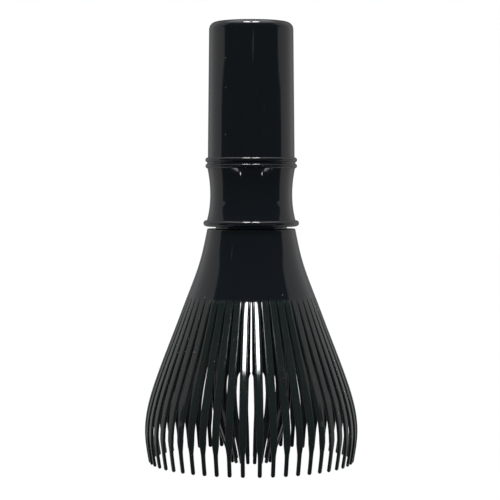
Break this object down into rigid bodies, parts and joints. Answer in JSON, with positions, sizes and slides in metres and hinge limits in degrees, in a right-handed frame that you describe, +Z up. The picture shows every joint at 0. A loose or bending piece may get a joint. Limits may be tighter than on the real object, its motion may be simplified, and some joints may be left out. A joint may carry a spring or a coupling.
{
  "type": "matcha whisk",
  "caption": "Moulded plastic matcha whisk with a hollow waisted handle, an outer bell of thin tines and a narrower inner ring of tines, which come apart for washing.",
  "frame": {"origin": "on the whisk's axis, at the level of the tine tips that it stands on", "axes": "+Z up the whisk's axis from the tine tips to the closed end of the handle; -Y is the front, where a slot between two outer tines is centred"},
  "size_m": [0.0604, 0.0604, 0.1244],
  "materials": {
    "barrel_black": "polished black moulding, fine lengthwise scratches",
    "collar_black": "polished black moulding",
    "tine_black": "polished black moulding, slightly flexible",
    "seal_rubber": "matt black rubber"
  },
  "bodies": {
    "inner_head": {"inner_tine_head": "tine_black", "stem_seal_ring": "seal_rubber"},
    "outer_head": {"outer_tine_head": "tine_black", "neck_seal_ring": "seal_rubber"},
    "handle": {"handle_barrel": "barrel_black", "waist_collar": "collar_black"}
  },
  "joints": [
    {"name": "outer_head_lift", "type": "slide", "parent": "inner_head", "child": "outer_head", "axis": [0, 0, 1], "range_m": [0, 0.084]},
    {"name": "handle_lift", "type": "slide", "parent": "outer_head", "child": "handle", "axis": [0, 0, 1], "range_m": [0, 0.034]}
  ]
}
